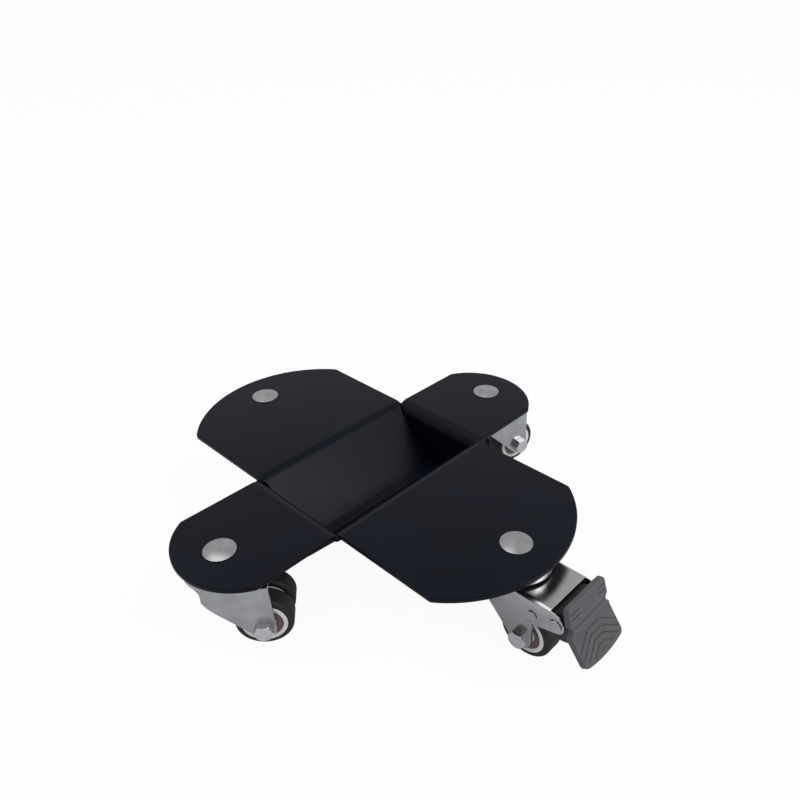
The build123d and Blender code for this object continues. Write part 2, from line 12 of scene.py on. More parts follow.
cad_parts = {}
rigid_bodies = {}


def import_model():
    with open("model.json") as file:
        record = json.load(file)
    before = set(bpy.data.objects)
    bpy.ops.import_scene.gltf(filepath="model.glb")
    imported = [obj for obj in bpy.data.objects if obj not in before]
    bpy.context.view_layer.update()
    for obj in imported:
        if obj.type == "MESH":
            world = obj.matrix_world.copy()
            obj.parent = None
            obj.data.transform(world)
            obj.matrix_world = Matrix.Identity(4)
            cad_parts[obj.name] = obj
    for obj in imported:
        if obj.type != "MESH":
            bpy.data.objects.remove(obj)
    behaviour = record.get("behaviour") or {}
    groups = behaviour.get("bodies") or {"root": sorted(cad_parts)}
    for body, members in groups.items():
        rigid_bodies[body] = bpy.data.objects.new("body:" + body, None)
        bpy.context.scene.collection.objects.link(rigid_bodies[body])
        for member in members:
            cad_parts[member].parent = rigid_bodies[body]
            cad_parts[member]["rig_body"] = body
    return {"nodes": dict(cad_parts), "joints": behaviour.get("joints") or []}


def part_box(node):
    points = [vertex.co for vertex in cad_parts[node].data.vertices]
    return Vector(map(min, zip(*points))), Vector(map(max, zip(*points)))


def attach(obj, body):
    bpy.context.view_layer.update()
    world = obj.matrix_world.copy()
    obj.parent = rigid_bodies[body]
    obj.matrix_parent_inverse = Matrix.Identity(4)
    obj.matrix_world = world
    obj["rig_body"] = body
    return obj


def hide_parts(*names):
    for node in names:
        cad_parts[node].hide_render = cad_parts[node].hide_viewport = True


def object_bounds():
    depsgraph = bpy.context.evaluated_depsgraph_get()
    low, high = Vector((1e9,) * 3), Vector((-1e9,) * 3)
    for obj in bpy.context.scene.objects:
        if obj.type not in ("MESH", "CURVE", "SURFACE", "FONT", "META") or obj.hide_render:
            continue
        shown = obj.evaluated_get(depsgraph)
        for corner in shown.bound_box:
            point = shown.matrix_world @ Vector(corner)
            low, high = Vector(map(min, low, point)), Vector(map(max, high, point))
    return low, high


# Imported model: every CAD piece at its place. Its box is the room that the finished model stays in.
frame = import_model()
nodes = frame["nodes"]
cad_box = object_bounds()
swivels = {joint["child"]: Vector(joint["pos_m"]) for joint in frame["joints"] if joint["parent"] == "deck"}
casters = ("front", "left", "right", "rear")
mm = 0.001

# Deck plates: 4 mm steel strip, cut flat, folded on a press brake and powder coated in satin black.
# One strip makes both wide arms and the V trough between them. Each narrow arm has a wall folded
# down at its inner end, which closes one end of the trough.
strip_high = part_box("trough_plate")[1]
arm_low, arm_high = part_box("right_arm")
plate = 4 * mm
plate_edge_round = 0.8 * mm
sharp_edge = radians(50)             # edges sharper than this are broken
deck_top = strip_high.z
arm_reach = strip_high.y
wide_arm_half, wide_arm_end_radius, wide_arm_corner = strip_high.x, 92 * mm, 5 * mm
narrow_arm_half, narrow_arm_end_radius = arm_high.y, 49.5 * mm
end_wall = arm_low.x
floor_half = 5 * mm
arm_bend_radius = 11 * mm            # on the upper face
floor_bend_radius = 5 * mm
bolt_hole_radius = 4.2 * mm
bolt_circle = swivels["caster_rear"].y
fold_steps = 12                      # rows of metal in each fold
arc_steps, bolt_steps = 48, 4        # in half the arc of an arm's tip, and in its part up to the bolt
corner_steps, hole_steps = 10, 24
on_the_cut = 0.001 * mm              # nearer than this, a point lies on a cut

slope_run = narrow_arm_half - floor_half
slope_angle = atan2(deck_top, slope_run)
floor_tangent = floor_bend_radius * tan(slope_angle / 2)
arm_tangent = arm_bend_radius * tan(slope_angle / 2)
floor_fold = floor_half - floor_tangent
arm_fold = (floor_fold + floor_bend_radius * slope_angle
            + hypot(deck_top, slope_run) - floor_tangent - arm_tangent)
arm_root = arm_fold + arm_bend_radius * slope_angle
stretch = arm_root - narrow_arm_half - arm_tangent      # the flat blank is this much longer than its plan
wall_fold = arm_reach - end_wall - arm_bend_radius      # from the tip of a narrow arm
foot_half = floor_half + plate * tan(slope_angle / 2)   # half the wall's lower edge


def spread(start, end, steps):
    """Evenly spaced values from start to end, both included."""
    return [start + (end - start) * step / steps for step in range(steps + 1)]


def arm_edge(half_width, end_radius, corner_radius):
    """One edge of an arm from its side to its tip, as points across and along the arm."""
    centre = arm_reach - end_radius
    corner_across = half_width - corner_radius
    corner_along = centre + sqrt((end_radius - corner_radius) ** 2 - corner_across ** 2)
    opening = atan2(corner_across, corner_along - centre)
    corner = [(corner_across + corner_radius * cos(turn), corner_along + corner_radius * sin(turn))
              for turn in spread(0, pi / 2 - opening, corner_steps)]
    turns = spread(opening, 0, arc_steps)
    bolt_turn = acos((bolt_circle - centre) / end_radius)
    if bolt_turn < opening:
        turns = spread(opening, bolt_turn, bolt_steps)[:-1] + spread(bolt_turn, 0, arc_steps - bolt_steps)
    arc = [(end_radius * sin(turn), centre + end_radius * cos(turn)) for turn in turns]
    return corner[:-1] + arc if corner_radius else arc


def wall_half(height):
    """Half width of a narrow arm's wall, which follows the underside of the slopes."""
    return foot_half + (height + plate) * slope_run / deck_top


def flat_blank(edge, hole_spots, folds):
    """Flat blank from its right-hand edge, with bolt holes drilled and a row of cuts along each fold."""
    blank = bmesh.new()
    outline = edge + [(-across, along) for across, along in reversed(edge) if across]
    blank.faces.new([blank.verts.new((across, along, 0)) for across, along in outline])
    rows = [side * (line + radius * turn) for line, angle, radius in folds
            for turn in spread(0, abs(angle), fold_steps) for side in (1, -1)]
    for row in rows + hole_spots:
        everything = blank.verts[:] + blank.edges[:] + blank.faces[:]
        bmesh.ops.bisect_plane(blank, geom=everything, dist=on_the_cut,
                               plane_co=(0, row, 0), plane_no=(0, 1, 0))
    for spot in hole_spots:
        drill(blank, spot)
    mesh = bpy.data.meshes.new("blank")
    blank.to_mesh(mesh)
    blank.free()
    mesh.shade_smooth()
    draft = bpy.data.objects.new("blank", mesh)
    bpy.context.scene.collection.objects.link(draft)
    return draft


def drill(blank, along):
    """Open a bolt hole in the middle of the blank, on the cut that crosses it there."""
    cut = next(edge for edge in blank.edges if len(edge.link_faces) == 2
               and all(abs(corner.co.y - along) < on_the_cut for corner in edge.verts))
    right, left = sorted(cut.verts, key=lambda corner: -corner.co.x)
    near, far = [], []
    for half, way in ((far, 1), (near, -1)):
        for turn in spread(0, pi, hole_steps)[1:-1]:
            across = bolt_hole_radius * cos(turn)
            half.append(blank.verts.new((across, along + way * bolt_hole_radius * sin(turn), 0)))
    ends = [blank.verts.new((way * bolt_hole_radius, along, 0)) for way in (1, -1)]
    for face in list(cut.link_faces):
        half = far if face.calc_center_median().y > along else near
        corners = [loop.vert for loop in face.loops]
        place = corners.index(right)
        notch = [ends[0], *half, ends[1]]
        if corners[(place + 1) % len(corners)] is not left:
            place = corners.index(left)
            notch.reverse()
        blank.faces.new(corners[:place + 1] + notch + corners[place + 1:])
        blank.faces.remove(face)
    blank.edges.remove(cut)


def press_brake():
    """Node tree for one stroke of the press: metal beyond a line is folded up, or down for an angle
    below zero, to a radius on the upper face. It works to both sides of the blank's middle."""
    tree = bpy.data.node_groups.new("press_brake", "GeometryNodeTree")
    tree.interface.new_socket("Geometry", in_out="INPUT", socket_type="NodeSocketGeometry")
    for name in ("Line", "Angle", "Radius"):
        tree.interface.new_socket(name, in_out="INPUT", socket_type="NodeSocketFloat")
    tree.interface.new_socket("Finish", in_out="INPUT", socket_type="NodeSocketMaterial")
    tree.interface.new_socket("Geometry", in_out="OUTPUT", socket_type="NodeSocketGeometry")
    given = tree.nodes.new("NodeGroupInput").outputs

    def work(operation, *values):
        node = tree.nodes.new("ShaderNodeMath")
        node.operation = operation
        for socket, value in zip(node.inputs, values):
            if isinstance(value, (int, float)):
                socket.default_value = value
            else:
                tree.links.new(value, socket)
        return node.outputs[0]

    spot = tree.nodes.new("ShaderNodeSeparateXYZ")
    tree.links.new(tree.nodes.new("GeometryNodeInputPosition").outputs[0], spot.inputs[0])
    along = work("ABSOLUTE", spot.outputs["Y"])
    way = work("SIGN", spot.outputs["Y"])
    upwards = work("SIGN", given["Angle"])
    angle = work("ABSOLUTE", given["Angle"])
    past = work("MAXIMUM", work("SUBTRACT", along, given["Line"]), 0)
    turn = work("MINIMUM", work("DIVIDE", past, given["Radius"]), angle)
    beyond = work("MAXIMUM", work("SUBTRACT", past, work("MULTIPLY", given["Radius"], angle)), 0)
    lever = work("SUBTRACT", given["Radius"], work("MULTIPLY", upwards, spot.outputs["Z"]))
    sine, cosine = work("SINE", turn), work("COSINE", turn)
    reach = work("ADD", work("MINIMUM", along, given["Line"]),
                 work("ADD", work("MULTIPLY", lever, sine), work("MULTIPLY", beyond, cosine)))
    rise = work("ADD", work("SUBTRACT", given["Radius"], work("MULTIPLY", lever, cosine)),
                work("MULTIPLY", beyond, sine))
    folded = tree.nodes.new("ShaderNodeCombineXYZ")
    tree.links.new(spot.outputs["X"], folded.inputs["X"])
    tree.links.new(work("MULTIPLY", way, reach), folded.inputs["Y"])
    tree.links.new(work("MULTIPLY", upwards, rise), folded.inputs["Z"])
    stroke = tree.nodes.new("GeometryNodeSetPosition")
    tree.links.new(given["Geometry"], stroke.inputs["Geometry"])
    tree.links.new(folded.outputs[0], stroke.inputs["Position"])
    realize = tree.nodes.new("GeometryNodeRealizeInstances")
    tree.links.new(stroke.outputs[0], realize.inputs[0])
    paint = tree.nodes.new("GeometryNodeSetMaterial")
    tree.links.new(realize.outputs[0], paint.inputs["Geometry"])
    tree.links.new(given["Finish"], paint.inputs["Material"])
    tree.links.new(paint.outputs[0], tree.nodes.new("NodeGroupOutput").inputs["Geometry"])
    return tree


def add_tree(draft, tree, **values):
    """Put a node tree on a draft as a modifier, with its named inputs set."""
    modifier = draft.modifiers.new(tree.name, "NODES")
    modifier.node_group = tree
    for socket in tree.interface.items_tree:
        if socket.in_out == "INPUT" and socket.name in values:
            modifier[socket.identifier] = values[socket.name]


def break_edges(draft, width):
    """Round the sharp edges of a draft, and keep flat faces flat to the light."""
    rounding = draft.modifiers.new("rounding", "BEVEL")
    rounding.width = width
    rounding.segments = 3
    rounding.limit_method = "ANGLE"
    rounding.angle_limit = sharp_edge
    rounding.use_clamp_overlap = False
    draft.modifiers.new("flat_faces", "WEIGHTED_NORMAL").keep_sharp = True


def finished(draft, name):
    """The evaluated shape of a draft as a plain mesh piece, with no modifiers left."""
    depsgraph = bpy.context.evaluated_depsgraph_get()
    mesh = bpy.data.meshes.new_from_object(
        draft.evaluated_get(depsgraph), preserve_all_data_layers=True, depsgraph=depsgraph)
    mesh.name = name
    bpy.data.objects.remove(draft)
    piece = bpy.data.objects.new(name, mesh)
    bpy.context.scene.collection.objects.link(piece)
    return piece


def surface_finish():
    """Node group for a worked surface: a fine grain, and clouds a few millimetres across or more
    that shift its roughness from low to high."""
    group = bpy.data.node_groups.new("surface_finish", "ShaderNodeTree")
    for name in ("Grain Size", "Cloud Size", "Roughness Low", "Roughness High"):
        group.interface.new_socket(name, in_out="INPUT", socket_type="NodeSocketFloat")
    for name in ("Roughness", "Grain", "Cloud"):
        group.interface.new_socket(name, in_out="OUTPUT", socket_type="NodeSocketFloat")
    given = group.nodes.new("NodeGroupInput").outputs
    result = group.nodes.new("NodeGroupOutput").inputs
    place = group.nodes.new("ShaderNodeTexCoord").outputs["Object"]
    for size, detail in (("Grain Size", 2), ("Cloud Size", 4)):
        scale = group.nodes.new("ShaderNodeMath")
        scale.operation = "DIVIDE"
        scale.inputs[0].default_value = 1
        group.links.new(given[size], scale.inputs[1])
        noise = group.nodes.new("ShaderNodeTexNoise")
        noise.inputs["Detail"].default_value = detail
        group.links.new(place, noise.inputs["Vector"])
        group.links.new(scale.outputs[0], noise.inputs["Scale"])
        spread_out = group.nodes.new("ShaderNodeMapRange")
        spread_out.inputs["From Min"].default_value = 0.3
        spread_out.inputs["From Max"].default_value = 0.7
        group.links.new(noise.outputs["Fac"], spread_out.inputs["Value"])
        group.links.new(spread_out.outputs["Result"], result[size.split()[0]])
    rough = group.nodes.new("ShaderNodeMapRange")
    group.links.new(spread_out.outputs["Result"], rough.inputs["Value"])
    group.links.new(given["Roughness Low"], rough.inputs["To Min"])
    group.links.new(given["Roughness High"], rough.inputs["To Max"])
    group.links.new(rough.outputs["Result"], result["Roughness"])
    return group


worked_surface = surface_finish()


def coating(name, dark, light, rough, grain, cloud, metallic=0.0, specular=0.5):
    """Material whose colour and roughness drift between two values in clouds, over a grain given as
    its size and depth."""
    material = bpy.data.materials.new(name)
    material.use_nodes = True
    tree = material.node_tree
    shader = tree.nodes["Principled BSDF"]
    shader.inputs["Metallic"].default_value = metallic
    shader.inputs["Specular IOR Level"].default_value = specular
    surface = tree.nodes.new("ShaderNodeGroup")
    surface.node_tree = worked_surface
    surface.inputs["Grain Size"].default_value = grain[0]
    surface.inputs["Cloud Size"].default_value = cloud
    surface.inputs["Roughness Low"].default_value = rough[0]
    surface.inputs["Roughness High"].default_value = rough[1]
    tint = tree.nodes.new("ShaderNodeMix")
    tint.data_type = "RGBA"
    tint.inputs["A"].default_value = (*dark, 1)
    tint.inputs["B"].default_value = (*light, 1)
    relief = tree.nodes.new("ShaderNodeBump")
    relief.name = "relief"
    relief.inputs["Distance"].default_value = grain[1]
    tree.links.new(surface.outputs["Cloud"], tint.inputs["Factor"])
    tree.links.new(tint.outputs["Result"], shader.inputs["Base Color"])
    tree.links.new(surface.outputs["Roughness"], shader.inputs["Roughness"])
    tree.links.new(surface.outputs["Grain"], relief.inputs["Height"])
    tree.links.new(relief.outputs["Normal"], shader.inputs["Normal"])
    return material


powder_coat = coating("powder_coat", dark=(0.0014, 0.0022, 0.0056), light=(0.0022, 0.003, 0.0074),
                      rough=(0.34, 0.42), grain=(0.9 * mm, 0.012 * mm), cloud=60 * mm, specular=0.088)
fold = press_brake()


def folded_plate(name, draft, folds, place):
    """Fold a flat blank, give it its gauge below the upper face, and set it in its place."""
    for line, angle, radius in folds:
        add_tree(draft, fold, Line=line, Angle=angle, Radius=radius, Finish=powder_coat)
    gauge = draft.modifiers.new("gauge", "SOLIDIFY")
    gauge.thickness = plate
    gauge.use_even_offset = True
    gauge.use_quality_normals = True
    break_edges(draft, plate_edge_round)
    piece = finished(draft, f"{name}_folded")
    piece.data.transform(place)
    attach(piece, "deck")
    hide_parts(name)


strip_folds = [(arm_fold, -slope_angle, arm_bend_radius), (floor_fold, slope_angle, floor_bend_radius)]
seam_lap = 1 * mm                    # of the strip over the bend of a narrow arm, closed by weld and coat
seam_end = asin((end_wall + arm_bend_radius - wide_arm_half) / arm_bend_radius)
seam_steps, wall_steps = 8, 6
strip_edge = [(end_wall + arm_bend_radius * (1 - sin(turn)),
               arm_root - arm_bend_radius * atan2(arm_tangent, arm_bend_radius * cos(turn)) - seam_lap)
              for turn in spread(pi / 2, seam_end, seam_steps)]
strip_edge += [(across, along + stretch)
               for across, along in arm_edge(wide_arm_half, wide_arm_end_radius, wide_arm_corner)]
strip_edge = [(across, -along) for across, along in reversed(strip_edge)] + strip_edge
strip_holes = [bolt_circle + stretch, -bolt_circle - stretch]
folded_plate("trough_plate", flat_blank(strip_edge, strip_holes, strip_folds), strip_folds, Matrix())

shoulder = (narrow_arm_half - foot_half) * deck_top / slope_run - plate
shoulder_turn = acos(1 - (deck_top - shoulder) / arm_bend_radius)
wall_end = wall_fold + arm_bend_radius * pi / 2 + deck_top - arm_bend_radius + plate
wall_folds = [(wall_fold, -pi / 2, arm_bend_radius)]
narrow_edge = [(across, arm_reach - along)
               for across, along in reversed(arm_edge(narrow_arm_half, narrow_arm_end_radius, 0))]
narrow_edge += [(wall_half(deck_top - arm_bend_radius * (1 - cos(turn))), wall_fold + arm_bend_radius * turn)
                for turn in spread(shoulder_turn, pi / 2, wall_steps)]
narrow_edge.append((foot_half, wall_end))
for name, heading in (("right_arm", 90), ("left_arm", -90)):
    to_side = Matrix.Rotation(radians(heading), 4, "Z")
    arm_place = to_side @ Matrix.Translation((0, -arm_reach, deck_top))
    blank = flat_blank(narrow_edge, [arm_reach - bolt_circle], wall_folds)
    folded_plate(name, blank, wall_folds, arm_place)

# Corner welds: a tack at each corner of the trough plate, where it meets the side of a narrow arm. They
# hold the three plates together, and are coated with them.
weld_low, weld_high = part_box("corner_welds")
weld_radius = (weld_high.z - weld_low.z) / 2
weld_spot = weld_high - weld_radius * Vector((1, 1, 1))
weld_ripples, weld_ripple = 8, 0.04  # ripples round a bead, and their depth as a share of its radius
weld_flatness = 0.6                  # height of a bead, as a share of its width
weld_steps, weld_segments = 24, 32
turned_edge = radians(35)            # edges of a turned piece sharper than this stay crisp


def turned(section, segments=96):
    """Mesh of a turned piece: a closed section of radius and height spun about the Z axis. Each
    point keeps its distance from the axis, for marks left by turning."""
    shape = bmesh.new()
    turns = [2 * pi * step / segments for step in range(segments)]
    rings = [[shape.verts.new((radius * cos(turn), radius * sin(turn), height)) for turn in turns]
             if radius else [shape.verts.new((0, 0, height))] for radius, height in section]
    for ring, following in zip(rings, rings[1:] + rings[:1]):
        for step in range(segments):
            corners = [ring[step % len(ring)], ring[(step + 1) % segments % len(ring)],
                       following[(step + 1) % segments % len(following)], following[step % len(following)]]
            corners = list(dict.fromkeys(corners))
            if len(corners) > 2:
                shape.faces.new(corners)
    bmesh.ops.recalc_face_normals(shape, faces=shape.faces)
    mesh = bpy.data.meshes.new("turned")
    shape.to_mesh(mesh)
    shape.free()
    mesh.shade_smooth()
    mesh.set_sharp_from_angle(angle=turned_edge)
    from_axis = mesh.attributes.new("from_axis", "FLOAT", "POINT")
    from_axis.data.foreach_set("value", [hypot(point.co.x, point.co.y) for point in mesh.vertices])
    return mesh


def station_tree():
    """Node tree that sets a copy of one piece on every station, turned to the way it faces."""
    tree = bpy.data.node_groups.new("on_stations", "GeometryNodeTree")
    tree.interface.new_socket("Geometry", in_out="INPUT", socket_type="NodeSocketGeometry")
    tree.interface.new_socket("Piece", in_out="INPUT", socket_type="NodeSocketObject")
    tree.interface.new_socket("Finish", in_out="INPUT", socket_type="NodeSocketMaterial")
    tree.interface.new_socket("Geometry", in_out="OUTPUT", socket_type="NodeSocketGeometry")
    given = tree.nodes.new("NodeGroupInput").outputs
    piece = tree.nodes.new("GeometryNodeObjectInfo")
    facing = tree.nodes.new("GeometryNodeInputNamedAttribute")
    facing.data_type = "FLOAT_VECTOR"
    facing.inputs["Name"].default_value = "facing"
    aim = tree.nodes.new("FunctionNodeAlignRotationToVector")
    aim.axis = "Z"
    copies = tree.nodes.new("GeometryNodeInstanceOnPoints")
    realize = tree.nodes.new("GeometryNodeRealizeInstances")
    paint = tree.nodes.new("GeometryNodeSetMaterial")
    tree.links.new(given["Piece"], piece.inputs["Object"])
    tree.links.new(facing.outputs["Attribute"], aim.inputs["Vector"])
    tree.links.new(given["Geometry"], copies.inputs["Points"])
    tree.links.new(piece.outputs["Geometry"], copies.inputs["Instance"])
    tree.links.new(aim.outputs["Rotation"], copies.inputs["Rotation"])
    tree.links.new(copies.outputs[0], realize.inputs[0])
    tree.links.new(realize.outputs[0], paint.inputs["Geometry"])
    tree.links.new(given["Finish"], paint.inputs["Material"])
    tree.links.new(paint.outputs[0], tree.nodes.new("NodeGroupOutput").inputs["Geometry"])
    return tree


on_stations = station_tree()


def fitted(name, mesh, stations, finish):
    """Copies of a mesh on stations, each a spot and the way it faces, as one plain mesh piece."""
    spots = bpy.data.meshes.new("stations")
    spots.from_pydata([spot for spot, _ in stations], [], [])
    facing = spots.attributes.new("facing", "FLOAT_VECTOR", "POINT")
    for place, (_, way) in enumerate(stations):
        facing.data[place].vector = way
    draft = bpy.data.objects.new("stations", spots)
    bpy.context.scene.collection.objects.link(draft)
    pattern = bpy.data.objects.new("pattern", mesh)
    add_tree(draft, on_stations, Piece=pattern, Finish=finish)
    piece = finished(draft, name)
    bpy.data.objects.remove(pattern)
    return piece


weld_section = [(0, -weld_radius * weld_flatness)]
for turn in spread(0, pi, weld_steps)[1:-1]:
    reach = weld_radius * (1 - weld_ripple * (1 + cos(weld_ripples * turn)) / 2)
    weld_section.append((reach * sin(turn), -reach * cos(turn) * weld_flatness))
weld_section.append((0, weld_radius * weld_flatness))
weld_stations = [(Vector((side * weld_spot.x, way * weld_spot.y, weld_spot.z)), Vector((0, 0, 1)))
                 for side in (1, -1) for way in (1, -1)]
welds = fitted("corner_tacks", turned(weld_section, weld_segments), weld_stations, powder_coat)
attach(welds, "deck")
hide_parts("corner_welds")

# Mushroom bolts: one over each caster, a low domed head turned from steel and nickel plated, which
# clamps the swivel head under the arm.
bolt_low, bolt_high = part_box("kingpin_bolts")
bolt_head_radius = 11 * mm
bolt_head_height = bolt_high.z - deck_top
bolt_head_lip = 0.45 * mm            # upright rim under the dome
bolt_shank_radius = 4 * mm
bolt_tip_chamfer = 0.8 * mm
dome_steps = 24
turning_pitch, turning_depth = 0.32 * mm, 0.002 * mm

nickel_plate = coating("nickel_plate", dark=(0.25, 0.248, 0.25), light=(0.33, 0.327, 0.322),
                       rough=(0.26, 0.36), grain=(0.8 * mm, 0.002 * mm), cloud=9 * mm, metallic=1.0)
marks = nickel_plate.node_tree
radius_of = marks.nodes.new("ShaderNodeAttribute")
radius_of.attribute_name = "from_axis"
ring = marks.nodes.new("ShaderNodeMath")
ring.operation = "MULTIPLY"
ring.inputs[1].default_value = 2 * pi / turning_pitch
wave = marks.nodes.new("ShaderNodeMath")
wave.operation = "SINE"
groove = marks.nodes.new("ShaderNodeBump")
groove.inputs["Distance"].default_value = turning_depth
marks.links.new(radius_of.outputs["Fac"], ring.inputs[0])
marks.links.new(ring.outputs[0], wave.inputs[0])
marks.links.new(wave.outputs[0], groove.inputs["Height"])
marks.links.new(marks.nodes["relief"].outputs["Normal"], groove.inputs["Normal"])
marks.links.new(groove.outputs["Normal"], marks.nodes["Principled BSDF"].inputs["Normal"])

dome_rise = bolt_head_height - bolt_head_lip
dome_radius = (bolt_head_radius ** 2 + dome_rise ** 2) / (2 * dome_rise)
dome_turn = atan2(bolt_head_radius, dome_radius - dome_rise)
dome = [(dome_radius * sin(turn), bolt_head_height - dome_radius * (1 - cos(turn)))
        for turn in spread(0, dome_turn, dome_steps)]
bolt_end = bolt_low.z - deck_top
bolt_section = [*dome, (bolt_head_radius, 0), (bolt_shank_radius, 0),
                (bolt_shank_radius, bolt_end + bolt_tip_chamfer),
                (bolt_shank_radius - bolt_tip_chamfer, bolt_end), (0, bolt_end)]
bolt_stations = [(Vector((swivel.x, swivel.y, deck_top)), Vector((0, 0, 1)))
                 for swivel in (swivels[f"caster_{name}"] for name in casters)]
bolts = fitted("mushroom_bolts", turned(bolt_section), bolt_stations, nickel_plate)
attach(bolts, "deck")
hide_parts("kingpin_bolts")

# Swivel heads: pressed steel races, zinc plated, with hardened balls between them round a hollow kingpin
# that a lock nut holds below the fork. The upper race, with its dust skirt, stays on the arm, and the
# lower one turns.
zinc_plate = coating("zinc_plate", dark=(0.29, 0.292, 0.29), light=(0.38, 0.382, 0.38),
                     rough=(0.17, 0.27), grain=(1.2 * mm, 0.002 * mm), cloud=12 * mm, metallic=1.0)
bearing_steel = coating("bearing_steel", dark=(0.42, 0.42, 0.43), light=(0.5, 0.5, 0.51),
                        rough=(0.12, 0.2), grain=(0.2 * mm, 0.001 * mm), cloud=4 * mm, metallic=1.0)


def plated(node, finish):
    """Give a CAD piece that is shown as it is its finish."""
    nodes[node].data.materials.clear()
    nodes[node].data.materials.append(finish)


for node in ("upper_races", "kingpins", "kingpin_nuts", *(f"lower_race_{name}" for name in casters)):
    plated(node, zinc_plate)
plated("bearing_balls", bearing_steel)

# Forks: 2.5 mm steel, blanked and bent to a U, zinc plated bright. The front one has two ears at the
# back that carry the brake pedal.
fork_edge_round = 0.35 * mm
same_point = 0.002 * mm              # corners of the CAD triangles that are nearer than this are one
same_plane = radians(0.5)


def dressed(name, node, finish, edge_round):
    """Merged copy of a CAD piece with its edges broken, where its shape is right already."""
    shape = bmesh.new()
    shape.from_mesh(nodes[node].data)
    bmesh.ops.remove_doubles(shape, verts=shape.verts, dist=same_point)
    bmesh.ops.dissolve_limit(shape, angle_limit=same_plane, verts=shape.verts, edges=shape.edges)
    mesh = bpy.data.meshes.new(name)
    shape.to_mesh(mesh)
    shape.free()
    mesh.shade_smooth()
    mesh.materials.append(finish)
    draft = bpy.data.objects.new(name, mesh)
    bpy.context.scene.collection.objects.link(draft)
    break_edges(draft, edge_round)
    piece = finished(draft, name)
    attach(piece, nodes[node]["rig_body"])
    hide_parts(node)
    return piece


for name in casters:
    dressed(f"fork_{name}_bent", f"fork_{name}", zinc_plate, fork_edge_round)

# Axles: hexagon bolt through both legs and a steel sleeve that the wheels run on, with a lock nut. The
# bolt and the nut are forged, and plated brighter than the fork.
hexagon_edge_round = 0.2 * mm
bright_zinc = coating("bright_zinc", dark=(0.46, 0.462, 0.46), light=(0.6, 0.602, 0.6),
                      rough=(0.22, 0.32), grain=(1.2 * mm, 0.002 * mm), cloud=5 * mm, metallic=1.0)
for name in casters:
    plated(f"axle_sleeve_{name}", zinc_plate)
    for node in (f"axle_bolt_{name}", f"axle_nut_{name}"):
        dressed(f"{node}_forged", node, bright_zinc, hexagon_edge_round)

# Wheels: two on each axle, a dark rubber tyre moulded onto a cream plastic rim, with a brown plastic
# cover pressed into the outer side of the hub.
tyre_low, tyre_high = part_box("tyre_front_a")
rim_low, rim_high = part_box("rim_front_a")
cover_low, cover_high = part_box("hub_cover_front_a")
wheel_radius = (tyre_high.z - tyre_low.z) / 2
flange_radius = (rim_high.z - rim_low.z) / 2
cover_radius = (cover_high.z - cover_low.z) / 2
wheel_half = 7.9 * mm                # middle of the wheel to its face
tyre_half = wheel_half - 0.3 * mm
tyre_shoulder = 2.6 * mm
tyre_bead = flange_radius + 0.15 * mm
rim_flange = 1.4 * mm
rim_seat = 14.2 * mm
rim_inside = 12.7 * mm
rim_web_half = 1.5 * mm
rim_edge_round = 0.3 * mm
hub_radius = 8 * mm
hub_bore = 5.56 * mm
hub_outer, hub_inner = 9.7 * mm, -9.2 * mm
cover_face = wheel_half - 0.9 * mm
cover_thickness = 1.6 * mm
cover_bore = hub_radius + 0.15 * mm
cover_edge_round = 0.4 * mm
nearly_straight = radians(89)        # half the angle at a corner that needs no rounding


def rounded(corners, steps=4):
    """Section points with each corner, given as radius, height and rounding, turned into an arc."""
    points = []
    for place, (radius, height, rounding) in enumerate(corners):
        corner = Vector((radius, height))
        before = (Vector(corners[place - 1][:2]) - corner).normalized()
        after = (Vector(corners[(place + 1) % len(corners)][:2]) - corner).normalized()
        half = before.angle(after) / 2
        if not rounding or half > nearly_straight:
            points.append((radius, height))
            continue
        centre = corner + (before + after).normalized() * rounding / sin(half)
        first = corner + before * rounding / tan(half) - centre
        sweep = first.angle_signed(corner + after * rounding / tan(half) - centre)
        for share in spread(0, 1, steps):
            spoke = first.copy()
            spoke.rotate(Matrix.Rotation(-sweep * share, 2))
            points.append(tuple(centre + spoke))
    return points


tyre_rubber = coating("tyre_rubber", dark=(0.013, 0.0128, 0.0115), light=(0.019, 0.0187, 0.017),
                      rough=(0.5, 0.64), grain=(0.25 * mm, 0.01 * mm), cloud=7 * mm, specular=0.25)
rim_plastic = coating("rim_plastic", dark=(0.70, 0.655, 0.62), light=(0.76, 0.715, 0.68),
                      rough=(0.34, 0.44), grain=(0.3 * mm, 0.003 * mm), cloud=8 * mm)
cover_plastic = coating("cover_plastic", dark=(0.1, 0.054, 0.046), light=(0.14, 0.078, 0.067),
                        rough=(0.36, 0.48), grain=(0.3 * mm, 0.005 * mm), cloud=6 * mm)
seat_half = wheel_half - rim_flange
tyre_section = rounded([
    (wheel_radius, -tyre_half, tyre_shoulder), (wheel_radius, tyre_half, tyre_shoulder),
    (tyre_bead, tyre_half, 0), (tyre_bead, seat_half, 0), (rim_seat, seat_half, 0),
    (rim_seat, -seat_half, 0), (tyre_bead, -seat_half, 0), (tyre_bead, -tyre_half, 0)], steps=8)
rim_section = rounded([
    (rim_inside, -wheel_half, rim_edge_round), (flange_radius, -wheel_half, rim_edge_round),
    (flange_radius, -seat_half, 0), (rim_seat, -seat_half, 0), (rim_seat, seat_half, 0),
    (flange_radius, seat_half, 0), (flange_radius, wheel_half, rim_edge_round),
    (rim_inside, wheel_half, rim_edge_round), (rim_inside, rim_web_half, 0), (hub_radius, rim_web_half, 0),
    (hub_radius, hub_outer, rim_edge_round), (hub_bore, hub_outer, 0), (hub_bore, hub_inner, 0),
    (hub_radius, hub_inner, rim_edge_round), (hub_radius, -rim_web_half, 0), (rim_inside, -rim_web_half, 0)])
cover_section = rounded([
    (cover_bore, cover_face - cover_thickness, 0), (cover_radius, cover_face - cover_thickness, 0),
    (cover_radius, cover_face, cover_edge_round), (cover_bore, cover_face, cover_edge_round)])
